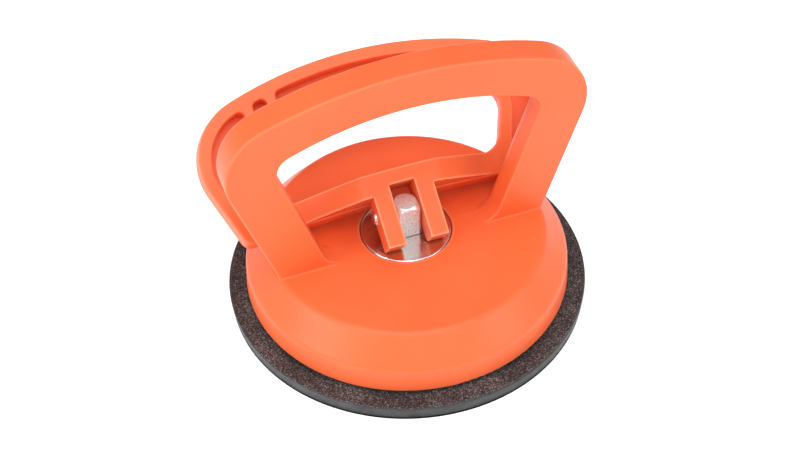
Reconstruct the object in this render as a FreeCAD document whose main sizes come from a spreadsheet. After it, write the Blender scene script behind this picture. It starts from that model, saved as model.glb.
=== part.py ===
import FreeCAD, Part
import math
import os

import Sketcher

# Single-cup suction lifter with a lever handle, for carrying floor tiles and glass.
#
# Frame: millimetres, +Z up, origin at the centre of the pad's suction face.  X runs along
# the handle, the lever lies on the +Y side.  The lever is drawn upright, as it stands when
# it is closed against the fixed handle, and its Placement leans it back to the open rest.

DIMENSIONS = [
    # rubber pad and the steel insert in it
    ("pad_radius", 59.5, "pad, widest"),
    ("pad_foot_radius", 59.0, "pad, at the floor"),
    ("pad_flange", 5.4, "pad flange, thickness"),
    ("pad_edge_round", 0.6, "pad flange, rounding of its upper edge"),
    ("pad_lip_width", 7.0, "sealing lip, width"),
    ("pad_dish", 0.8, "suction face, hollow inside the lip"),
    ("pad_seat", 6.7, "height of the pad's step that carries the housing"),
    ("pad_seat_inset", 1.0, "pad step, inside the housing's rim"),
    ("insert_radius", 24.0, "steel insert"),
    ("insert_thickness", 2.5, "steel insert"),
    ("insert_depth", 1.5, "steel insert, let into the pad"),
    ("insert_gap", 0.3, "rubber to insert, radial"),
    ("insert_edge", 0.5, "rounding of the insert's upper edge"),
    # housing: dome
    ("rim_radius", 53.5, "dome, at its lower rim"),
    ("skirt_radius", 53.0, "dome, top of the skirt"),
    ("skirt_height", 15.3, "height of the top of the skirt"),
    ("deck_radius", 45.1, "dome, edge of the flat deck"),
    ("deck_height", 24.6, "height of the deck"),
    ("deck_soft", 1.2, "rounding of the deck's edge, along each face"),
    ("skirt_round", 3.0, "rounding between shoulder and skirt"),
    ("rim_round", 0.6, "rounding of the lower rim"),
    ("wall", 2.8, "housing wall"),
    ("boss_radius", 11.0, "guide boss under the deck"),
    ("boss_depth", 5.0, "guide boss, below the deck's underside"),
    ("rib_width", 1.8, "stiffening ribs under the deck"),
    ("rib_depth", 4.0, "stiffening ribs, below the deck's underside"),
    # housing: fixed handle
    ("handle_front", 7.0, "front face, in front of the stud axis"),
    ("handle_depth", 11.0, "fixed handle, front to back"),
    ("handle_top", 95.2, "height of the fixed handle"),
    ("handle_arch", 137.0, "radius of the handle's top"),
    ("handle_foot", 45.1, "half width of the handle at the deck"),
    ("leg_lean", 18.2, "lean of the legs, degrees"),
    ("leg_width", 15.8, "leg, measured across"),
    ("grip_width", 13.2, "grip, measured up and down"),
    ("handle_corner", 19.4, "outer corner radius"),
    ("opening_corner", 6.5, "radius of the opening's upper corners"),
    ("foot_round", 7.0, "radius of the opening's lower corners"),
    ("front_round", 0.6, "rounding of the front edges"),
    ("opening_arch", 103.0, "radius of the opening's top"),
    ("opening_rear_round", 5.0, "rounding of the opening's rear edges"),
    ("rear_round", 2.0, "rounding of the rear edges"),
    # bearing plate, stud and pin
    ("plate_radius", 14.9, "steel bearing plate"),
    ("plate_thickness", 1.5, "steel bearing plate"),
    ("plate_gap", 0.3, "plate to its seat, radial"),
    ("plate_round", 0.5, "rounding of the plate's upper edge"),
    ("stud_side", 8.0, "square stud"),
    ("stud_corner", 0.9, "rounding of the stud's corners"),
    ("stud_gap", 0.3, "stud to the plate's square hole"),
    ("stud_bore_gap", 1.0, "stud's corners to the housing's round bore"),
    ("head_height", 3.9, "stud's top above the pin"),
    ("head_flat", 3.6, "radius of the flat on the stud's top"),
    ("flange_radius", 9.0, "stud's flange on the insert"),
    ("flange_thickness", 3.0, "stud's flange on the insert"),
    ("tail_radius", 3.0, "riveted tail of the stud"),
    ("tail_gap", 0.03, "tail to the insert's hole"),
    ("rivet_radius", 4.6, "rivet head under the insert"),
    ("rivet_height", 1.2, "rivet head under the insert"),
    ("pin_rise", 8.5, "hinge pin above the deck, lever open"),
    ("pin_radius", 2.25, "hinge pin"),
    ("pin_proud", 1.0, "pin beyond the prongs, each side"),
    ("pin_end_round", 1.0, "domed ends of the pin"),
    ("pin_fit", 0.06, "prong bore to pin, radial"),
    ("pin_press", 0.02, "stud bore to pin, radial"),
    # lever, drawn upright about the pin
    ("open_angle", 55.0, "lever leans back from upright, degrees"),
    ("prong_gap", 8.5, "between the prongs"),
    ("prong_width", 5.95, "each prong"),
    ("prong_face", 6.1, "prong's front face, in front of the pin axis"),
    ("prong_thickness", 8.0, "prongs, front to back"),
    ("prong_reach", 11.6, "prong's end below the pin axis"),
    ("prong_round", 1.0, "prong's working corner"),
    ("notch_height", 8.3, "root of the notch above the pin axis"),
    ("yoke_half", 13.0, "half width of the yoke's flat face"),
    ("flank_end", 29.1, "half width at the end of the flank's straight run"),
    ("flank_rise", 1.85, "end of the straight run, off the ring's face"),
    ("flank_hollow", 16.0, "radius that carries the flank into the ring's face"),
    ("yoke_base", 35.1, "half width of the yoke where it meets the ring"),
    ("yoke_low", 5.7, "underside of the yoke at its middle, above the pin axis"),
    ("yoke_bite", 1.0, "yoke sunk into the ring"),
    ("yoke_break", 7.0, "yoke's face into its flanks"),
    ("bar_low", 5.2, "underside of the cross bar above the pin axis"),
    ("bar_width", 8.0, "cross bar, measured up and down"),
    ("bar_arch", 520.0, "radius of the cross bar"),
    ("ring_gap", 0.5, "closed lever to the fixed handle"),
    ("ring_thickness", 8.0, "lever ring, front to back"),
    ("ring_draft", 5.0, "draft of the ring's sides, degrees"),
    ("ring_top", 56.9, "top of the lever above the pin axis"),
    ("ring_arch", 138.0, "radius of the lever's top"),
    ("ring_foot", 51.4, "half width of the lever at the cross bar"),
    ("ring_lean", 19.5, "lean of the lever's legs, degrees"),
    ("ring_leg", 15.8, "lever leg, measured across"),
    ("ring_grip", 16.0, "lever grip, measured up and down"),
    ("ring_corner", 21.8, "outer corner radius"),
    ("ring_toe", 3.5, "radius of the lower outer corners"),
    ("ring_eye_corner", 7.5, "radius of the opening's upper corners"),
    ("ring_sill_corner", 8.5, "radius of the opening's lower corners"),
    ("ring_front_round", 0.6, "rounding of the lever's front edges"),
    ("ring_rear_round", 2.4, "rounding of the lever's rear edges"),
    ("pocket_rim", 4.1, "rim round the cored pockets"),
    ("pocket_foot", 13.0, "lower ends of the pockets above the pin axis"),
    ("web_width", 3.2, "webs between the pockets"),
    ("web_inner", 30.7, "middle of the webs beside the grip pocket"),
    ("web_outer", 38.9, "middle of the webs beside the leg pockets"),
    ("pocket_depth", 5.5, "depth of the pockets"),
    ("pocket_round", 2.0, "radius of the pockets' corners"),
]
RIB_COUNT = 8

SHEET = "Dimensions"
EDGE_REACH = 0.1


class Size:
    """A number together with the expression that a property is bound to."""

    def __init__(self, value, text):
        self.value = value
        self.text = text

    def __add__(self, other):
        other = as_size(other)
        return Size(self.value + other.value, f"({self.text} + {other.text})")

    def __sub__(self, other):
        other = as_size(other)
        return Size(self.value - other.value, f"({self.text} - {other.text})")

    def __mul__(self, other):
        other = as_size(other)
        return Size(self.value * other.value, f"{self.text} * {other.text}")

    def __truediv__(self, other):
        other = as_size(other)
        return Size(self.value / other.value, f"{self.text} / ({other.text})")

    def __neg__(self):
        return Size(-self.value, f"(0 - {self.text})")

    def root(self):
        return Size(math.sqrt(self.value), f"sqrt({self.text})")

    def cosine(self):
        return Size(math.cos(math.radians(self.value)), f"cos({self.text})")

    def tangent(self):
        return Size(math.tan(math.radians(self.value)), f"tan({self.text})")


def as_size(number):
    return number if isinstance(number, Size) else Size(float(number), f"{float(number)}")


def write_sheet(doc):
    sheet = doc.addObject("Spreadsheet::Sheet", SHEET)
    for row, (alias, value, note) in enumerate(DIMENSIONS, 1):
        sheet.set(f"A{row}", alias)
        sheet.set(f"B{row}", f"{value}")
        sheet.set(f"C{row}", note)
        sheet.setAlias(f"B{row}", alias)
    doc.recompute()
    return {alias: Size(getattr(sheet, alias), f"{SHEET}.{alias}") for alias, value, note in DIMENSIONS}


def bind(item, name, size):
    item.setExpression(name, as_size(size).text)


def new_body(doc, label):
    body = doc.addObject("PartDesign::Body", label)
    body.Label = label
    return body


def new_sketch(body, name, plane, offset=None):
    """Sketch on one of the body's own origin planes, moved along that plane's normal."""
    sketch = body.newObject("Sketcher::SketchObject", name)
    support = next(item for item in body.Origin.OriginFeatures if item.Role == plane)
    sketch.AttachmentSupport = [(support, "")]
    sketch.MapMode = "FlatFace"
    if offset is not None:
        bind(sketch, "AttachmentOffset.Base.z", offset)
    return sketch


def fix_point(sketch, index, end, spot):
    """Tie a point to the sketch's upright axis (-2) and to its level axis and origin (-1)."""
    for kind, axis, size in zip(("DistanceX", "DistanceY"), (-2, -1), spot):
        if size.value == 0:
            sketch.addConstraint(Sketcher.Constraint("PointOnObject", index, end, axis))
            continue
        row = sketch.addConstraint(Sketcher.Constraint(kind, -1, 1, index, end, size.value))
        sketch.setExpression(f"Constraints[{row}]", size.text)


def arc_between(start, end, radius):
    """Arc from start to end, bulging left of its travel, or right when radius is negative."""
    first = FreeCAD.Vector(start[0].value, start[1].value, 0)
    last = FreeCAD.Vector(end[0].value, end[1].value, 0)
    chord = last - first
    side = FreeCAD.Vector(-chord.y, chord.x, 0).normalize()
    rise = abs(radius.value) - math.sqrt(radius.value**2 - (chord.Length / 2) ** 2)
    return Part.Arc(first, (first + last) / 2 + side * math.copysign(rise, radius.value), last)


def draw_outline(sketch, corners, arched=None):
    """Closed outline through corners; arched gives the signed radius of a curved side."""
    arched = arched or {}
    corners = [(as_size(across), as_size(up)) for across, up in corners]
    sides = []
    for index, start in enumerate(corners):
        end = corners[(index + 1) % len(corners)]
        if index in arched:
            side = arc_between(start, end, arched[index])
        else:
            side = Part.LineSegment(
                FreeCAD.Vector(start[0].value, start[1].value, 0),
                FreeCAD.Vector(end[0].value, end[1].value, 0),
            )
        sides.append(sketch.addGeometry(side, False))
    # arcs run counter-clockwise, so a side that bulges left starts at its arc's end 2
    turned = [index in arched and arched[index].value > 0 for index in range(len(sides))]
    first_end = {side: 2 if turned[index] else 1 for index, side in enumerate(sides)}
    last_end = {side: 1 if turned[index] else 2 for index, side in enumerate(sides)}
    for index, side in enumerate(sides):
        before = sides[index - 1]
        fix_point(sketch, side, first_end[side], corners[index])
        sketch.addConstraint(
            Sketcher.Constraint("Coincident", before, last_end[before], side, first_end[side])
        )
        if index in arched:
            radius = arched[index] if turned[index] else -arched[index]
            row = sketch.addConstraint(Sketcher.Constraint("Radius", side, radius.value))
            sketch.setExpression(f"Constraints[{row}]", radius.text)
    return sketch


def pad(body, name, sketch, length, reversed_way=False, draft=None):
    feature = body.newObject("PartDesign::Pad", name)
    feature.Profile = sketch
    bind(feature, "Length", length)
    feature.Reversed = reversed_way
    if draft is not None:
        bind(feature, "TaperAngle", draft)
    return feature


def pocket(body, name, sketch, depth=None, reversed_way=False):
    """Pocket to a depth, or through everything both ways when no depth is given."""
    feature = body.newObject("PartDesign::Pocket", name)
    feature.Profile = sketch
    if depth is None:
        feature.Type = "ThroughAll"
        feature.Midplane = True
    else:
        bind(feature, "Length", depth)
    feature.Reversed = reversed_way
    return feature


def revolve(body, kind, name, sketch):
    feature = body.newObject(f"PartDesign::{kind}", name)
    feature.Profile = sketch
    feature.ReferenceAxis = (sketch, ["V_Axis"])
    feature.Angle = 360
    return feature


def edges_where(feature, test):
    """Names of the edges whose every sample point passes the test."""
    feature.Document.recompute()
    names = []
    for index, edge in enumerate(feature.Shape.Edges, 1):
        first, last = edge.ParameterRange
        points = [edge.valueAt(first + (last - first) * part) for part in (0.02, 0.5, 0.98)]
        if all(test(point) for point in points):
            names.append(f"Edge{index}")
    return names


def round_edges(body, name, base, test, radius):
    names = edges_where(base, test)
    if not names:
        raise RuntimeError(f"{name}: no edge to round")
    feature = body.newObject("PartDesign::Fillet", name)
    feature.Base = (base, names)
    bind(feature, "Radius", radius)
    return feature


def near(value, size, reach=0.02):
    return abs(value - size.value) < reach


def leg_corner(foot, foot_level, lean, arch_top, arch_radius):
    """Where a leg's side, leaning out from foot, meets an arch centred on the middle."""
    slope = lean.tangent()
    centre = arch_top - arch_radius
    base = foot + (centre - foot_level) * slope
    scale = slope * slope + 1
    rise = ((arch_radius * arch_radius * scale - base * base).root() - base * slope) / scale
    return base + rise * slope, centre + rise


def outer_side(point, foot, foot_level, lean, leg, arch_top, arch_radius, grip):
    """True outside the middle line of an arched handle's legs and grip."""
    leg_side = foot.value + (point.z - foot_level.value) * lean.tangent().value
    centre = arch_top.value - arch_radius.value
    beyond_arch = math.hypot(point.x, point.z - centre) > arch_radius.value - grip.value / 2
    return beyond_arch or abs(point.x) > leg_side - leg.value / 2


def make_handle(body, d):
    """Fixed handle: an arched ring with soft edges, whose feet sink into the deck."""
    rear = d["handle_depth"] - d["handle_front"]
    root = d["deck_height"] - d["wall"]
    inner_foot = d["handle_foot"] - d["leg_width"] / d["leg_lean"].cosine()
    sunk_foot = d["handle_foot"] - d["wall"] * d["leg_lean"].tangent()
    eye_top = d["handle_top"] - d["grip_width"]
    deck, lean = d["deck_height"], d["leg_lean"]
    top = leg_corner(d["handle_foot"], deck, lean, d["handle_top"], d["handle_arch"])
    eye = leg_corner(inner_foot, deck, lean, eye_top, d["opening_arch"])

    face = new_sketch(body, "handle_outline", "XZ_Plane", d["handle_front"])
    draw_outline(
        face,
        [(-sunk_foot, root), (-top[0], top[1]), (top[0], top[1]), (sunk_foot, root)],
        {1: d["handle_arch"]},
    )
    draw_outline(
        face,
        [
            (-inner_foot, d["deck_height"]),
            (-eye[0], eye[1]),
            (eye[0], eye[1]),
            (inner_foot, d["deck_height"]),
        ],
        {1: d["opening_arch"]},
    )
    step = pad(body, "handle", face, d["handle_depth"], reversed_way=True)
    corners = (
        ("outer_corners", top[0], top[1], d["handle_corner"]),
        ("eye_corners", eye[0], eye[1], d["opening_corner"]),
        ("eye_feet", inner_foot, d["deck_height"], d["foot_round"]),
    )
    for name, across, up, radius in corners:
        step = round_edges(body, name, step, lambda p: near(abs(p.x), across) and near(p.z, up), radius)

    def outside(point):
        return outer_side(
            point, d["handle_foot"], d["deck_height"], d["leg_lean"], d["leg_width"],
            d["handle_top"], d["handle_arch"], d["grip_width"],
        )

    for name, level, wanted, radius in (
        ("front_outer_edges", -d["handle_front"], True, d["front_round"]),
        ("front_opening_edges", -d["handle_front"], False, d["front_round"]),
        ("rear_outer_edges", rear, True, d["rear_round"]),
        ("rear_opening_edges", rear, False, d["opening_rear_round"]),
    ):
        step = round_edges(
            body, name, step,
            lambda p: near(p.y, level) and outside(p) == wanted and p.z > root.value + EDGE_REACH,
            radius,
        )


def make_housing(doc, d):
    """One moulding: shallow dome with a fixed handle that grows out of its deck."""
    body = new_body(doc, "housing")
    make_handle(body, d)

    run = d["skirt_radius"] - d["deck_radius"]
    drop = d["deck_height"] - d["skirt_height"]
    slant = (run * run + drop * drop).root()
    profile = new_sketch(body, "dome_profile", "XZ_Plane")
    draw_outline(
        profile,
        [
            (0, d["pad_seat"]),
            (0, d["deck_height"]),
            (d["deck_radius"] - d["deck_soft"], d["deck_height"]),
            (
                d["deck_radius"] + run * d["deck_soft"] / slant,
                d["deck_height"] - drop * d["deck_soft"] / slant,
            ),
            (d["skirt_radius"], d["skirt_height"]),
            (d["rim_radius"], d["pad_seat"]),
        ],
        {2: d["deck_soft"] * (slant + run) / drop},
    )
    dome = revolve(body, "Revolution", "dome", profile)
    step = round_edges(
        body, "skirt_edge", dome,
        lambda p: near(math.hypot(p.x, p.y), d["skirt_radius"]) and near(p.z, d["skirt_height"]),
        d["skirt_round"],
    )
    step = round_edges(
        body, "rim_edge", step,
        lambda p: near(math.hypot(p.x, p.y), d["rim_radius"]) and near(p.z, d["pad_seat"]),
        d["rim_round"],
    )

    hollow = new_sketch(body, "hollow_profile", "XZ_Plane")
    ceiling = d["deck_height"] - d["wall"]
    bore = stud_bore(d)
    draw_outline(
        hollow,
        [
            (0, d["pad_seat"]),
            (0, ceiling - d["boss_depth"]),
            (d["boss_radius"], ceiling - d["boss_depth"]),
            (d["boss_radius"], ceiling),
            (d["deck_radius"] - d["wall"], ceiling),
            (d["skirt_radius"] - d["wall"], d["skirt_height"] - d["wall"] / 2),
            (d["rim_radius"] - d["wall"], d["pad_seat"]),
        ],
    )
    revolve(body, "Groove", "hollow", hollow)

    spokes = new_sketch(body, "rib_outline", "XZ_Plane", -d["rib_width"] / 2)
    reach = d["deck_radius"] - d["wall"]
    draw_outline(
        spokes,
        [
            (d["boss_radius"] - d["wall"] / 2, ceiling - d["rib_depth"]),
            (d["boss_radius"] - d["wall"] / 2, ceiling + d["wall"] / 2),
            (reach, ceiling + d["wall"] / 2),
            (reach, ceiling - d["rib_depth"]),
        ],
    )
    rib = pad(body, "rib", spokes, d["rib_width"])
    ribs = body.newObject("PartDesign::PolarPattern", "ribs")
    ribs.Originals = [rib]
    ribs.Axis = (spokes, ["V_Axis"])
    ribs.Angle = 360
    ribs.Occurrences = RIB_COUNT
    body.Tip = ribs

    seat = new_sketch(body, "plate_seat_outline", "XY_Plane", d["deck_height"])
    draw_circle(seat, 0, 0, d["plate_radius"] + d["plate_gap"])
    pocket(body, "plate_seat", seat, d["plate_thickness"])
    hole = new_sketch(body, "stud_bore_outline", "XY_Plane", d["deck_height"])
    draw_circle(hole, 0, 0, bore)
    pocket(body, "stud_bore", hole, d["wall"] + d["boss_depth"])
    return body


def pin_level(d):
    """Height of the hinge pin's axis while the lever is open."""
    return d["deck_height"] + d["pin_rise"]


def stud_bore(d):
    """Radius of the housing's bore: clear of the square stud's corners."""
    corner = d["stud_side"] / 2 - d["stud_corner"]
    return corner * math.sqrt(2) + d["stud_corner"] + d["stud_bore_gap"]


def draw_circle(sketch, across, up, radius):
    across, up = as_size(across), as_size(up)
    centre = FreeCAD.Vector(across.value, up.value, 0)
    index = sketch.addGeometry(Part.Circle(centre, FreeCAD.Vector(0, 0, 1), radius.value), False)
    fix_point(sketch, index, 3, (across, up))
    row = sketch.addConstraint(Sketcher.Constraint("Radius", index, radius.value))
    sketch.setExpression(f"Constraints[{row}]", radius.text)


def draw_square(sketch, half):
    draw_outline(sketch, [(-half, -half), (-half, half), (half, half), (half, -half)])


def make_suction_pad(doc, d):
    """Rubber disc: sealing lip under a shallow dish, flange, and a raised seat for the dome."""
    body = new_body(doc, "suction_pad")
    profile = new_sketch(body, "pad_profile", "XZ_Plane")
    step_radius = d["rim_radius"] - d["pad_seat_inset"]
    lip = d["pad_foot_radius"] - d["pad_lip_width"]
    recess = d["pad_seat"] - d["insert_depth"]
    draw_outline(
        profile,
        [
            (0, d["pad_dish"]),
            (0, recess),
            (d["insert_radius"] + d["insert_gap"], recess),
            (d["insert_radius"] + d["insert_gap"], d["pad_seat"]),
            (step_radius, d["pad_seat"]),
            (step_radius, d["pad_flange"]),
            (d["pad_radius"], d["pad_flange"]),
            (d["pad_foot_radius"], 0),
            (lip, 0),
        ],
    )
    disc = revolve(body, "Revolution", "pad", profile)
    step = round_edges(
        body, "flange_edge", disc,
        lambda p: near(math.hypot(p.x, p.y), d["pad_radius"]), d["pad_edge_round"],
    )
    well = new_sketch(body, "rivet_well_outline", "XY_Plane", recess)
    draw_circle(well, 0, 0, d["rivet_radius"] + d["insert_gap"])
    pocket(body, "rivet_well", well, d["rivet_height"] + d["insert_gap"])
    return body


def make_pad_insert(doc, d):
    """Steel disc let into the top of the pad, with a hole for the stud's riveted tail."""
    body = new_body(doc, "pad_insert")
    outline = new_sketch(body, "insert_outline", "XY_Plane", d["pad_seat"] - d["insert_depth"])
    draw_circle(outline, 0, 0, d["insert_radius"])
    draw_circle(outline, 0, 0, d["tail_radius"] + d["tail_gap"])
    disc = pad(body, "disc", outline, d["insert_thickness"])
    round_edges(
        body, "disc_edge", disc,
        lambda p: near(math.hypot(p.x, p.y), d["insert_radius"]) and p.z > d["pad_seat"].value,
        d["insert_edge"],
    )
    return body


def make_bearing_plate(doc, d):
    """Polished steel washer with a square hole, which the lever's prongs bear on."""
    body = new_body(doc, "bearing_plate")
    level = d["deck_height"] - d["plate_thickness"]
    outline = new_sketch(body, "plate_outline", "XY_Plane", level)
    draw_circle(outline, 0, 0, d["plate_radius"])
    draw_square(outline, d["stud_side"] / 2 + d["stud_gap"])
    disc = pad(body, "disc", outline, d["plate_thickness"])
    round_edges(
        body, "plate_edge", disc,
        lambda p: near(math.hypot(p.x, p.y), d["plate_radius"]) and near(p.z, d["deck_height"]),
        d["plate_round"],
    )
    return body


def make_pull_stud(doc, d):
    """Square stud with a turned head and a cross bore, riveted to the insert below."""
    body = new_body(doc, "pull_stud")
    floor = d["pad_seat"] - d["insert_depth"]
    top_of_insert = floor + d["insert_thickness"]
    top = pin_level(d) + d["head_height"]
    foot = new_sketch(body, "foot_profile", "XZ_Plane")
    draw_outline(
        foot,
        [
            (0, floor - d["rivet_height"]),
            (0, top_of_insert + d["flange_thickness"]),
            (d["flange_radius"], top_of_insert + d["flange_thickness"]),
            (d["flange_radius"], top_of_insert),
            (d["tail_radius"], top_of_insert),
            (d["tail_radius"], floor),
            (d["rivet_radius"], floor),
            (d["tail_radius"], floor - d["rivet_height"]),
        ],
    )
    revolve(body, "Revolution", "foot", foot)
    section = new_sketch(body, "post_outline", "XY_Plane", top_of_insert)
    draw_square(section, d["stud_side"] / 2)
    post = pad(body, "post", section, top - top_of_insert)
    half = d["stud_side"] / 2
    round_edges(
        body, "post_corners", post,
        lambda p: near(abs(p.x), half) and near(abs(p.y), half), d["stud_corner"],
    )
    turning = new_sketch(body, "head_turning_profile", "XZ_Plane")
    draw_outline(
        turning,
        [
            (d["head_flat"], top),
            (d["head_flat"] + d["stud_side"], top),
            (d["head_flat"] + d["stud_side"], top - d["stud_side"]),
        ],
    )
    revolve(body, "Groove", "head_turning", turning)
    bore = new_sketch(body, "pin_bore_outline", "YZ_Plane")
    draw_circle(bore, 0, pin_level(d), d["pin_radius"] + d["pin_press"])
    pocket(body, "pin_bore", bore)
    return body


def make_hinge_pin(doc, d):
    """Steel pin along X with domed ends, through the stud and both prongs."""
    body = new_body(doc, "hinge_pin")
    half = d["prong_gap"] / 2 + d["prong_width"] + d["pin_proud"]
    outline = new_sketch(body, "pin_outline", "YZ_Plane")
    draw_circle(outline, 0, 0, d["pin_radius"])
    rod = pad(body, "rod", outline, half * 2)
    rod.Midplane = True
    round_edges(
        body, "pin_ends", rod,
        lambda p: near(abs(p.x), half), d["pin_end_round"],
    )
    bind(body, "Placement.Base.z", pin_level(d))
    return body


def arc_sag(radius, across):
    """How far an arc drops below its crown at a distance across."""
    return radius - (radius * radius - across * across).root()


def ring_front(d):
    return d["handle_depth"] - d["handle_front"] + d["ring_gap"]


def by_corner(corner, reach=1.5):
    """Test for the edges that run front to back through a corner and its mirror image."""
    return lambda p: near(abs(p.x), corner[0], reach) and near(p.z, corner[1], reach)


def make_ring(body, d):
    """D-shaped loop of the lever with cored pockets in its front face."""
    lean = d["ring_lean"]
    foot = d["ring_foot"]
    level = d["bar_low"] - arc_sag(d["bar_arch"], foot)
    top = leg_corner(foot, level, lean, d["ring_top"], d["ring_arch"])
    face = new_sketch(body, "ring_outline", "XZ_Plane", -ring_front(d))
    draw_outline(
        face,
        [(-foot, level), (-top[0], top[1]), top, (foot, level)],
        {1: d["ring_arch"], 3: -d["bar_arch"]},
    )
    eye_arch = d["ring_arch"] - d["ring_grip"]
    eye_foot = foot - d["ring_leg"] / lean.cosine()
    eye = leg_corner(eye_foot, level, lean, d["ring_top"] - d["ring_grip"], eye_arch)
    sill_half = eye_foot + d["bar_width"] * lean.tangent()
    sill_arch = d["bar_arch"] + d["bar_width"]
    sill = (sill_half, d["bar_low"] + d["bar_width"] - arc_sag(sill_arch, sill_half))
    draw_outline(
        face,
        [(-sill[0], sill[1]), (-eye[0], eye[1]), eye, sill],
        {1: eye_arch, 3: -sill_arch},
    )
    step = pad(body, "ring", face, d["ring_thickness"], reversed_way=True, draft=d["ring_draft"])
    for name, corner, radius in (
        ("ring_toes", (foot, level), d["ring_toe"]),
        ("opening_tops", eye, d["ring_eye_corner"]),
        ("opening_sills", sill, d["ring_sill_corner"]),
    ):
        step = round_edges(body, name, step, by_corner(corner), radius)
    return step


def core_ring(body, d):
    """One pocket round the legs and grip, the ring's corners, then webs across the pocket."""
    lean = d["ring_lean"]
    foot = d["ring_foot"]
    level = d["bar_low"] - arc_sag(d["bar_arch"], foot)
    inset = d["pocket_rim"] / lean.cosine()
    rise = (d["pocket_foot"] - level) * lean.tangent()
    outer_foot = foot - inset
    inner_foot = foot - d["ring_leg"] / lean.cosine() + inset
    outer_arch = d["ring_arch"] - d["pocket_rim"]
    inner_arch = d["ring_arch"] - d["ring_grip"] + d["pocket_rim"]
    outer = leg_corner(outer_foot, level, lean, d["ring_top"] - d["pocket_rim"], outer_arch)
    inner_top = d["ring_top"] - d["ring_grip"] + d["pocket_rim"]
    inner = leg_corner(inner_foot, level, lean, inner_top, inner_arch)
    right = [outer, (outer_foot + rise, d["pocket_foot"]), (inner_foot + rise, d["pocket_foot"]), inner]
    left = [(-across, up) for across, up in reversed(right)]
    outline = new_sketch(body, "pocket_outline", "XZ_Plane", -ring_front(d))
    draw_outline(outline, right + left, {3: -inner_arch, 7: outer_arch})
    step = pocket(body, "pockets", outline, d["pocket_depth"])
    for name, corner, radius in (
        ("pocket_outer_corners", outer, d["ring_corner"] - d["pocket_rim"]),
        ("pocket_inner_corners", inner, d["ring_eye_corner"] + d["pocket_rim"]),
        ("pocket_outer_feet", right[1], d["pocket_round"]),
        ("pocket_inner_feet", right[2], d["pocket_round"]),
    ):
        step = round_edges(body, name, step, by_corner(corner, 0.02), radius)
    top = leg_corner(foot, level, lean, d["ring_top"], d["ring_arch"])
    round_edges(body, "ring_corners", step, by_corner(top), d["ring_corner"])

    webs = new_sketch(body, "web_outline", "XZ_Plane", -ring_front(d))
    for middle in (d["web_inner"], d["web_outer"]):
        low = inner_top - arc_sag(inner_arch, middle) - d["pocket_rim"] / 2
        high = d["ring_top"] - arc_sag(d["ring_arch"], middle) - d["pocket_rim"] / 2
        near_side, far_side = middle - d["web_width"] / 2, middle + d["web_width"] / 2
        for hand in (1, -1):
            inside, outside = near_side * hand, far_side * hand
            draw_outline(webs, [(inside, low), (inside, high), (outside, high), (outside, low)])
    step = pad(body, "webs", webs, d["pocket_depth"], reversed_way=True)
    floor = ring_front(d) + d["pocket_depth"]
    edges = [d["web_inner"], d["web_outer"]]

    def beside_web(point):
        across = abs(point.x)
        sides = [near(across, middle + d["web_width"] / 2 * way) for middle in edges for way in (1, -1)]
        return any(sides) and ring_front(d).value + 0.01 < point.y < floor.value - 0.01

    return round_edges(body, "web_corners", step, beside_web, d["pocket_round"])


def soften_ring(body, d, step):
    """Soft rear edges and barely broken front edges, outside and round the opening."""
    level = d["bar_low"] - arc_sag(d["bar_arch"], d["ring_foot"])
    bar_middle = d["bar_low"] + d["bar_width"] / 2

    def outside(point):
        return point.z < bar_middle.value or outer_side(
            point, d["ring_foot"], level, d["ring_lean"], d["ring_leg"],
            d["ring_top"], d["ring_arch"], d["ring_grip"],
        )

    rear = ring_front(d) + d["ring_thickness"]
    for side, depth, radius in (
        ("rear", rear, d["ring_rear_round"]),
        ("front", ring_front(d), d["ring_front_round"]),
    ):
        for loop, wanted in (("outer", True), ("eye", False)):
            step = round_edges(
                body, f"ring_{side}_{loop}_edges", step,
                lambda p: near(p.y, depth) and outside(p) == wanted, radius,
            )
    return step


def make_yoke(body, d):
    """Raised block on the cross bar, its flanks sloping back to the ring's face."""
    front = ring_front(d)
    base = d["yoke_base"]
    top_arch = d["bar_arch"] + d["bar_width"]
    high = d["bar_low"] + d["bar_width"] - arc_sag(top_arch, base)
    low = d["yoke_low"] - arc_sag(d["bar_arch"], base)
    band = new_sketch(body, "yoke_outline", "XZ_Plane", d["prong_face"])
    draw_outline(
        band,
        [(-base, low), (-base, high), (base, high), (base, low)],
        {1: top_arch, 3: -d["bar_arch"]},
    )
    pad(body, "yoke", band, d["prong_face"] + front + d["yoke_bite"], reversed_way=True)
    flanks = new_sketch(body, "flank_outline", "XY_Plane")
    clear = d["prong_face"] + d["yoke_bite"]
    for hand in (1, -1):
        corners = [
            (d["yoke_half"] * hand, -clear),
            (d["yoke_half"] * hand, -d["prong_face"]),
            (d["flank_end"] * hand, front - d["flank_rise"]),
            (base * hand, front),
            ((base + d["yoke_bite"]) * hand, front),
            ((base + d["yoke_bite"]) * hand, -clear),
        ]
        draw_outline(flanks, corners, {2: d["flank_hollow"] * hand})
    cut = pocket(body, "flanks", flanks)
    return round_edges(
        body, "yoke_breaks", cut,
        lambda p: near(abs(p.x), d["yoke_half"]) and near(p.y, -d["prong_face"]), d["yoke_break"],
    )


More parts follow.
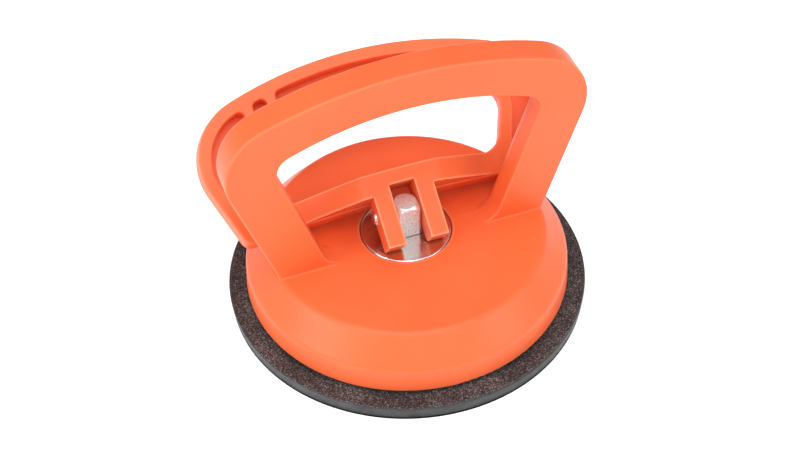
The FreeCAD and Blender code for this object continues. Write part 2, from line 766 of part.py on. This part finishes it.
def make_prongs(body, d):
    """Two prongs that straddle the stud, bored for the pin."""
    half = d["prong_gap"] / 2 + d["prong_width"]
    outline = new_sketch(body, "prong_outline", "XZ_Plane", d["prong_face"])
    draw_outline(
        outline,
        [
            (-half, -d["prong_reach"]),
            (-half, d["notch_height"]),
            (half, d["notch_height"]),
            (half, -d["prong_reach"]),
        ],
    )
    step = pad(body, "prongs", outline, d["prong_thickness"], reversed_way=True)
    rear = d["prong_thickness"] - d["prong_face"]
    step = round_edges(
        body, "prong_heels", step,
        lambda p: near(p.y, rear) and near(p.z, -d["prong_reach"]), d["prong_round"],
    )
    notch = new_sketch(body, "notch_outline", "XZ_Plane", d["prong_face"])
    inside, below = d["prong_gap"] / 2, d["prong_reach"] + d["prong_round"]
    draw_outline(
        notch,
        [
            (-inside, -below),
            (-inside, d["notch_height"]),
            (inside, d["notch_height"]),
            (inside, -below),
        ],
    )
    pocket(body, "notch", notch, d["prong_face"] + ring_front(d))
    bore = new_sketch(body, "prong_bore_outline", "YZ_Plane")
    draw_circle(bore, 0, 0, d["pin_radius"] + d["pin_fit"])
    return pocket(body, "prong_bore", bore)


def make_lever(doc, d):
    """Hinged lever drawn upright: its origin is the pin axis and -Y is its front face."""
    body = new_body(doc, "lever")
    make_ring(body, d)
    soften_ring(body, d, core_ring(body, d))
    make_yoke(body, d)
    make_prongs(body, d)
    body.Placement = FreeCAD.Placement(
        FreeCAD.Vector(0, 0, pin_level(d).value),
        FreeCAD.Rotation(FreeCAD.Vector(1, 0, 0), -d["open_angle"].value),
    )
    bind(body, "Placement.Base.z", pin_level(d))
    bind(body, "Placement.Rotation.Angle", -d["open_angle"])
    return body


MAKERS = (
    make_suction_pad,
    make_pad_insert,
    make_bearing_plate,
    make_pull_stud,
    make_hinge_pin,
    make_lever,
    make_housing,
)


def main():
    doc = FreeCAD.newDocument("suction_lifter")
    d = write_sheet(doc)
    bodies = [make(doc, d) for make in MAKERS]
    doc.recompute()
    for item in doc.Objects:
        if {"Invalid", "Error"} & set(item.State):
            raise RuntimeError(f"{item.Label} failed: {item.State}")
    os.makedirs("parts", exist_ok=True)
    for body in bodies:
        if body.Shape.isNull() or not body.Shape.isValid():
            raise RuntimeError(f"{body.Label} has no valid shape")
        print(body.Label, len(body.Shape.Solids), round(body.Shape.Volume, 1))
        body.Shape.exportStep(f"parts/{body.Label}.step")


main()
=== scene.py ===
"""Studio scene of a floor tile suction lifter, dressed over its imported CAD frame."""

import math

import bpy
from mathutils import Matrix, Vector
from mathutils.bvhtree import BVHTree


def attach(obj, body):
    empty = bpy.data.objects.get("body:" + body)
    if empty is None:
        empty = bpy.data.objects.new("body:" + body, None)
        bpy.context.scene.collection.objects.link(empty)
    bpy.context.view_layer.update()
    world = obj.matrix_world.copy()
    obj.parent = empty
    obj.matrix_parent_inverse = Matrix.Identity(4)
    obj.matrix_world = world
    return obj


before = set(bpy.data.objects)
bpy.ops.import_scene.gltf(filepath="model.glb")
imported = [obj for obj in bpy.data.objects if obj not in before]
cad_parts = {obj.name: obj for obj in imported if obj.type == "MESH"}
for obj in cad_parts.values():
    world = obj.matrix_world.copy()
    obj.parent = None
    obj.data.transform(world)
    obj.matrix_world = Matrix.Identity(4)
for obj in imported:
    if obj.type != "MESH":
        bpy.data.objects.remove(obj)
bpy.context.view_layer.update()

MM = 0.001

# Shapes of the housing that the added pieces sit on, in millimetres.
DECK = 24.6
DECK_RADIUS = 45.1
DECK_SOFT = 1.2
SKIRT_RADIUS = 53.0
SKIRT = 15.3
HANDLE_FRONT = -7.0
HANDLE_REAR = 4.0
FOOT_OUTER = 45.1
FOOT_INNER = 28.47
LEG_LEAN = math.radians(18.2)
FOOT_ARC = 7.0
FRONT_ROUND = 0.6
REAR_ROUND = 2.0
OPENING_REAR_ROUND = 5.0
PLATE_SEAT = 15.2
FOOT_REACH = FOOT_ARC / math.tan((math.pi / 2 + LEG_LEAN) / 2)

# Blends where the legs meet the dome, in millimetres.
BLEND = 0.7
BLEND_SHARE = 0.85
LEAST_BLEND = 0.01
REAR_CLEAR = 0.5
BLEND_COLUMNS = 12


# ---------------------------------------------------------------- materials


class Shader:
    """Small helper that builds a node material step by step."""

    def __init__(self, name):
        self.material = bpy.data.materials.new(name)
        self.material.use_nodes = True
        self.tree = self.material.node_tree
        self.principled = self.tree.nodes["Principled BSDF"]
        self.coords = self.add("ShaderNodeTexCoord").outputs["Object"]

    def add(self, kind, **settings):
        node = self.tree.nodes.new(kind)
        for key, value in settings.items():
            setattr(node, key, value)
        return node

    def link(self, source, target):
        self.tree.links.new(source, target)

    def feed(self, socket, source):
        self.link(source, self.principled.inputs[socket])

    def set(self, **values):
        for key, value in values.items():
            self.principled.inputs[key.replace("_", " ")].default_value = value

    def noise(self, scale, detail=4.0, roughness=0.5):
        node = self.add("ShaderNodeTexNoise")
        node.inputs["Scale"].default_value = scale
        node.inputs["Detail"].default_value = detail
        node.inputs["Roughness"].default_value = roughness
        self.link(self.coords, node.inputs["Vector"])
        return node.outputs["Fac"]

    def ramp(self, source, stops, interpolation="LINEAR"):
        node = self.add("ShaderNodeValToRGB")
        node.color_ramp.interpolation = interpolation
        elements = node.color_ramp.elements
        while len(elements) < len(stops):
            elements.new(0.5)
        for element, (position, colour) in zip(elements, stops):
            element.position = position
            element.color = (*colour, 1.0)
        self.link(source, node.inputs["Fac"])
        return node.outputs["Color"]

    def math(self, operation, first, second):
        node = self.add("ShaderNodeMath", operation=operation)
        for socket, value in zip(node.inputs, (first, second)):
            if isinstance(value, (int, float)):
                socket.default_value = value
            else:
                self.link(value, socket)
        return node.outputs[0]

    def mix(self, factor, first, second):
        node = self.add("ShaderNodeMix", data_type="RGBA")
        self.link(factor, node.inputs["Factor"])
        for name, value in (("A", first), ("B", second)):
            socket = [item for item in node.inputs if item.name == name and item.type == "RGBA"][0]
            if isinstance(value, tuple):
                socket.default_value = (*value, 1.0)
            else:
                self.link(value, socket)
        return [item for item in node.outputs if item.type == "RGBA"][0]

    def soft_edges(self, radius):
        """Normal that rounds the sharp edges by a small radius."""
        bevel = self.add("ShaderNodeBevel", samples=6)
        bevel.inputs["Radius"].default_value = radius
        return bevel.outputs["Normal"]

    def outer_edges(self, reach):
        """Thickness of the material just under the surface: low along outer edges."""
        inside = self.add("ShaderNodeAmbientOcclusion", samples=8, inside=True, only_local=True)
        inside.inputs["Distance"].default_value = reach
        return inside.outputs["AO"]

    def bump(self, height, strength, distance, normal=None):
        node = self.add("ShaderNodeBump")
        node.inputs["Strength"].default_value = strength
        node.inputs["Distance"].default_value = distance
        self.link(height, node.inputs["Height"])
        if normal:
            self.link(normal, node.inputs["Normal"])
        return node.outputs["Normal"]


def grey(level):
    return (level, level, level)


def orange_plastic(name, edge_radius, painted_highlight):
    """Satin moulded plastic: faint flow clouds, a fine spark-eroded grain and a painted highlight along
    the outer edges.
    """
    shader = Shader(name)
    cloud = shader.noise(45.0, 3.0)
    body = shader.ramp(cloud, [(0.35, (0.87, 0.135, 0.036)), (0.65, (0.90, 0.148, 0.042))])
    soft = shader.soft_edges(edge_radius)
    # Painted highlight: the outer edges are painted a paler orange, at the given strength.
    highlight_edge_mask = shader.ramp(shader.outer_edges(1.1 * MM), [(0.55, grey(painted_highlight)), (0.88, grey(0.0))])
    shader.feed("Base Color", shader.mix(highlight_edge_mask, body, (1.0, 0.32, 0.16)))
    rough = shader.ramp(shader.noise(260.0, 4.0), [(0.3, grey(0.36)), (0.7, grey(0.44))])
    shader.feed("Roughness", rough)
    grain = shader.noise(3000.0, 2.0, 0.6)
    shader.feed("Normal", shader.bump(grain, 0.10, 0.0002, soft))
    shader.set(IOR=1.49, Specular_IOR_Level=0.4)
    return shader.material


def rubber():
    """Black rubber: dusty speckled top, smooth sides with a painted contact shadow along the bottom
    edge.
    """
    shader = Shader("speckled_rubber")
    geometry = shader.add("ShaderNodeNewGeometry")
    split = shader.add("ShaderNodeSeparateXYZ")
    shader.link(geometry.outputs["Normal"], split.inputs["Vector"])
    upward = shader.ramp(split.outputs["Z"], [(0.3, grey(0.0)), (0.8, grey(1.0))])
    specks = shader.noise(2100.0, 3.0, 0.7)
    patches = shader.noise(70.0, 3.0, 0.6)
    dust = shader.math("ADD", specks, shader.math("MULTIPLY", patches, 0.22))
    top = shader.ramp(
        dust,
        [(0.52, (0.018, 0.014, 0.016)), (0.64, (0.040, 0.034, 0.034)), (0.77, (0.24, 0.20, 0.19))],
    )
    smooth = shader.noise(180.0, 5.0, 0.6)
    side = shader.ramp(smooth, [(0.35, grey(0.028)), (0.65, grey(0.058))])
    # Painted contact shadow: the sides fade to near black (0.008) below about 1.6 mm height, and the
    # specular level drops to zero at the bottom.
    height = shader.add("ShaderNodeSeparateXYZ")
    shader.link(shader.coords, height.inputs["Vector"])
    lift = shader.math("MULTIPLY", height.outputs["Z"], 100.0)
    above_painted_shadow = shader.ramp(lift, [(0.06, grey(0.0)), (0.16, grey(1.0))])
    side = shader.mix(above_painted_shadow, grey(0.008), side)
    shader.feed("Base Color", shader.mix(upward, side, top))
    shader.feed("Specular IOR Level", shader.ramp(lift, [(0.06, grey(0.0)), (0.3, grey(0.3))]))
    rough = shader.ramp(specks, [(0.3, grey(0.38)), (0.7, grey(0.6))])
    shader.feed("Roughness", rough)
    soft = shader.soft_edges(0.3 * MM)
    shader.feed("Normal", shader.bump(specks, 0.25, 0.0002, soft))
    return shader.material


def steel(name, colour, tones, gloss, grain_scale, strength, metal=1.0):
    """Metal with patchy tone, uneven gloss, a painted highlight along the outer edges and a fine grain.
    """
    shader = Shader(name)
    shader.set(Metallic=metal)
    patches = shader.noise(grain_scale * 1.2, 5.0, 0.7)
    tint = [tuple(channel * level for channel in colour) for level in tones]
    body = shader.ramp(patches, [(0.4, tint[0]), (0.6, tint[1])])
    # Painted highlight: the outer edges are painted near white.
    painted_highlight = shader.ramp(shader.outer_edges(0.4 * MM), [(0.5, grey(0.8)), (0.85, grey(0.0))])
    shader.feed("Base Color", shader.mix(painted_highlight, body, (0.95, 0.94, 0.92)))
    grain = shader.noise(grain_scale, 4.0, 0.6)
    rough = shader.ramp(grain, [(0.3, grey(gloss[0])), (0.7, grey(gloss[1]))])
    shader.feed("Roughness", rough)
    soft = shader.soft_edges(0.12 * MM)
    shader.feed("Normal", shader.bump(grain, strength, 0.0003, soft))
    return shader.material


def backdrop_paper():
    shader = Shader("white_paper")
    fibre = shader.noise(900.0, 2.0)
    shader.feed("Base Color", shader.ramp(fibre, [(0.3, grey(0.88)), (0.7, grey(0.9))]))
    shader.set(Roughness=0.9, Emission_Strength=0.5)
    shader.principled.inputs["Emission Color"].default_value = (1.0, 1.0, 1.0, 1.0)
    return shader.material


# The last argument is the strength of the painted edge highlight.
housing_orange = orange_plastic("orange_housing_plastic", 0.8 * MM, 1.0)
blend_orange = orange_plastic("orange_blend_plastic", 0.3 * MM, 0.1)
finishes = {
    "housing": housing_orange,
    "lever": orange_plastic("orange_lever_plastic", 0.3 * MM, 1.0),
    "suction_pad": rubber(),
    "bearing_plate": steel("polished_plate", (0.82, 0.81, 0.8), (0.88, 1.0), (0.15, 0.24), 900.0, 0.04),
    "pull_stud": steel(
        "tumbled_steel", (0.92, 0.92, 0.9), (0.76, 1.0), (0.24, 0.4), 1300.0, 0.3, metal=0.6
    ),
    "hinge_pin": steel("pin_steel", (0.8, 0.79, 0.78), (0.8, 1.0), (0.2, 0.34), 1100.0, 0.1),
    "pad_insert": steel("insert_steel", (0.5, 0.5, 0.5), (0.8, 1.0), (0.4, 0.6), 900.0, 0.1),
}


def dress(thing, material):
    thing.data.materials.clear()
    thing.data.materials.append(material)


for node, material in finishes.items():
    dress(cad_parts[node], material)


# ---------------------------------------------------------------- added pieces


def add_piece(name, points, faces, material, body):
    """Smooth mesh piece from points in millimetres, riding on a CAD body."""
    mesh = bpy.data.meshes.new(name)
    mesh.from_pydata([Vector(point) * MM for point in points], [], faces)
    mesh.polygons.foreach_set("use_smooth", [True] * len(faces))
    mesh.materials.append(material)
    mesh.update()
    piece = bpy.data.objects.new(name, mesh)
    bpy.context.scene.collection.objects.link(piece)
    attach(piece, body)
    return piece


def grid_faces(rows, columns, flip=False):
    faces = []
    for row in range(rows - 1):
        for column in range(columns - 1):
            corner = row * columns + column
            face = (corner, corner + 1, corner + columns + 1, corner + columns)
            faces.append(face[::-1] if flip else face)
    return faces


def dome_height(radius):
    """Height of the dome's outside: flat deck, its rounded edge, then the shoulder."""
    slope = (DECK - SKIRT) / (SKIRT_RADIUS - DECK_RADIUS)
    edge = DECK_RADIUS - DECK_SOFT
    bend = DECK_SOFT / math.tan(math.atan(slope) / 2)
    if radius <= edge:
        return DECK
    turn = math.asin(min(1.0, (radius - edge) / bend))
    if turn < math.atan(slope):
        return DECK - bend * (1 - math.cos(turn))
    return DECK - (radius - DECK_RADIUS) * slope


def foot_height(across):
    """Height of the opening's lower corner above the deck, at a distance from the middle."""
    start = FOOT_INNER - FOOT_REACH
    end = FOOT_INNER + FOOT_REACH * math.sin(LEG_LEAN)
    if across <= start:
        return 0.0
    if across < end:
        return FOOT_ARC - math.sqrt(FOOT_ARC**2 - (across - start) ** 2)
    return FOOT_REACH * math.cos(LEG_LEAN) + (across - end) / math.tan(LEG_LEAN)


def corner_stations(middle_x, middle_y, radius, start, count):
    """Stations round one rounded corner of a foot, a quarter turn from an angle."""
    stations = []
    for step in range(1, count):
        angle = start + math.pi / 2 * step / count
        out_x, out_y = math.cos(angle), math.sin(angle)
        place = (middle_x + radius * out_x, middle_y + radius * out_y)
        stations.append((*place, out_x, out_y, BLEND))
    return stations


def foot_outline(hand):
    """Stations round a foot on the deck: place, outward direction and blend radius."""
    front_end = FOOT_OUTER - FRONT_ROUND
    front_along = HANDLE_FRONT + FRONT_ROUND
    rear_end = FOOT_OUTER - REAR_ROUND
    rear_along = HANDLE_REAR - REAR_ROUND
    front_start = FOOT_INNER - FOOT_REACH
    rear_start = FOOT_INNER + OPENING_REAR_ROUND / math.cos(LEG_LEAN) + REAR_CLEAR
    stations = []
    for step in range(61):
        across = front_start + (front_end - front_start) * step / 60
        radius = min(BLEND, BLEND_SHARE * foot_height(across))
        stations.append((across, HANDLE_FRONT, 0.0, -1.0, radius))
    stations += corner_stations(front_end, front_along, FRONT_ROUND, -math.pi / 2, 8)
    for step in range(13):
        along = front_along + (rear_along - front_along) * step / 12
        stations.append((FOOT_OUTER, along, 1.0, 0.0, BLEND))
    stations += corner_stations(rear_end, rear_along, REAR_ROUND, 0.0, 12)
    for step in range(31):
        across = rear_end + (rear_start - rear_end) * step / 30
        radius = min(BLEND, BLEND_SHARE * (across - rear_start))
        stations.append((across, HANDLE_REAR, 0.0, 1.0, radius))
    return [
        (across * hand, along, out_x * hand, out_y, radius)
        for across, along, out_x, out_y, radius in stations
        if radius > LEAST_BLEND
    ]


def blend_arc(across, along, out_x, out_y, radius):
    """Concave arc of a ball that rests on the dome and leans on the leg's wall."""
    lean = math.tan(LEG_LEAN) * abs(out_x)
    length = math.hypot(1.0, lean)
    reaches = [index * 0.02 for index in range(-60, 400)]
    ground = [
        dome_height(math.hypot(across + out_x * reach, along + out_y * reach)) for reach in reaches
    ]

    def rest(centre):
        """Height of the ball's middle, and the reach and height where it touches the dome."""
        best = (-math.inf, 0.0, 0.0)
        for reach, level in zip(reaches, ground):
            gap = radius**2 - (reach - centre) ** 2
            if gap > 0:
                best = max(best, (level + math.sqrt(gap), reach, level))
        return best

    near, far = 0.0, 5.0
    for _ in range(24):
        centre = (near + far) / 2
        if (centre - lean * (rest(centre)[0] - DECK)) / length < radius:
            near = centre
        else:
            far = centre
    middle, touch, level = rest(far)
    start = math.atan2(level - middle, touch - far)
    end = math.atan2(lean, -1.0) - 2 * math.pi
    points = []
    for column in range(BLEND_COLUMNS):
        angle = start + (end - start) * column / (BLEND_COLUMNS - 1)
        reach = far + radius * math.cos(angle)
        height = middle + radius * math.sin(angle)
        points.append((across + out_x * reach, along + out_y * reach, height))
    return points


def make_foot_blend(name, hand):
    points = []
    stations = foot_outline(hand)
    for station in stations:
        points.extend(blend_arc(*station))
    faces = grid_faces(len(stations), BLEND_COLUMNS, flip=hand < 0)
    return add_piece(name, points, faces, blend_orange, "base")


def make_seam():
    """Parting line of the mould: a hair-fine bead across the deck and round the opening."""
    along, half, height, sink = -0.8, 0.26, 0.10, 0.02
    columns, turns = 7, 720
    start = Vector((0.0, along, 50.0)) * MM
    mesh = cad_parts["housing"].data
    places = [vertex.co for vertex in mesh.vertices]
    tree = BVHTree.FromPolygons(places, [face.vertices[:] for face in mesh.polygons])
    points = []
    for step in range(turns + 1):
        angle = -math.pi / 2 + 2 * math.pi * step / turns
        direction = Vector((math.cos(angle), 0.0, math.sin(angle)))
        place, normal, _, _ = tree.ray_cast(start, direction)
        if place is None:
            continue
        if place.z < (DECK + 0.1) * MM and abs(place.x) < PLATE_SEAT * MM:
            continue
        for column in range(columns):
            share = column / (columns - 1) * 2 - 1
            rise = height * (1 - share * share) - sink
            points.append(place / MM + Vector((0.0, half * share, 0.0)) + normal * rise)
    rows = len(points) // columns
    faces = grid_faces(rows, columns)
    return add_piece("mould_seam", points, faces, housing_orange, "base")


make_foot_blend("foot_blend_right", 1)
make_foot_blend("foot_blend_left", -1)
make_seam()


# ---------------------------------------------------------------- studio


def panel(name, size, place, power):
    """Rectangular soft light that looks at the middle of the lifter."""
    light = bpy.data.lights.new(name, "AREA")
    light.shape = "RECTANGLE"
    light.size, light.size_y = size
    light.energy = power
    lamp = bpy.data.objects.new(name, light)
    bpy.context.scene.collection.objects.link(lamp)
    lamp.location = place
    aim = Vector((0.0, 0.0, 0.04)) - Vector(place)
    lamp.rotation_euler = aim.to_track_quat("-Z", "Y").to_euler()


def make_camera():
    """Camera at the photo's angle, looking down on the lifter from the front left."""
    azimuth, elevation, roll = (math.radians(angle) for angle in (-18.95, 45.56, 1.56))
    distance, shift_left, shift_up = 539.5 * MM, 1.92 * MM, 16.93 * MM
    turn = Matrix.Rotation(azimuth, 3, "Z")
    right = turn @ Vector((1, 0, 0))
    up = turn @ Vector((0, math.sin(elevation), math.cos(elevation)))
    back = turn @ Vector((0, -math.cos(elevation), math.sin(elevation)))
    place = back * distance - right * shift_left + up * shift_up
    across = right * math.cos(roll) - up * math.sin(roll)
    upward = right * math.sin(roll) + up * math.cos(roll)
    camera = bpy.data.objects.new("camera", bpy.data.cameras.new("camera"))
    bpy.context.scene.collection.objects.link(camera)
    camera.data.sensor_width = 36.0
    camera.data.lens = 72.0
    camera.data.clip_start = 0.01
    facing = Matrix((across, upward, back)).transposed().to_4x4()
    camera.matrix_world = Matrix.Translation(place) @ facing
    bpy.context.scene.camera = camera


def make_floor():
    half = 3.0
    mesh = bpy.data.meshes.new("floor")
    corners = [(-half, -half, 0), (half, -half, 0), (half, half, 0), (-half, half, 0)]
    mesh.from_pydata(corners, [], [(0, 1, 2, 3)])
    floor = bpy.data.objects.new("floor", mesh)
    bpy.context.scene.collection.objects.link(floor)
    mesh.materials.append(backdrop_paper())


def make_world():
    """Soft white room, a little brighter in front than behind."""
    world = bpy.data.worlds.new("studio")
    world.use_nodes = True
    tree = world.node_tree
    coords = tree.nodes.new("ShaderNodeTexCoord")
    split = tree.nodes.new("ShaderNodeSeparateXYZ")
    fade = tree.nodes.new("ShaderNodeMapRange")
    tree.links.new(coords.outputs["Generated"], split.inputs["Vector"])
    tree.links.new(split.outputs["Y"], fade.inputs["Value"])
    fade.inputs["From Min"].default_value = -0.5
    fade.inputs["From Max"].default_value = 0.7
    fade.inputs["To Min"].default_value = 0.5
    fade.inputs["To Max"].default_value = 0.42
    background = tree.nodes["Background"]
    background.inputs["Color"].default_value = (1.0, 1.0, 1.0, 1.0)
    tree.links.new(fade.outputs["Result"], background.inputs["Strength"])
    bpy.context.scene.world = world


make_camera()
bpy.context.scene.view_settings.view_transform = "Standard"
make_floor()
make_world()
panel("left", (0.5, 0.4), (-0.85, -0.15, 0.5), 3.8)
panel("right", (0.5, 0.4), (0.65, -0.6, 0.5), 2.2)
panel("front", (0.6, 0.4), (-0.15, -0.85, 0.75), 1.2)
panel("overhead", (0.8, 0.8), (-0.1, -0.2, 1.1), 6.3)
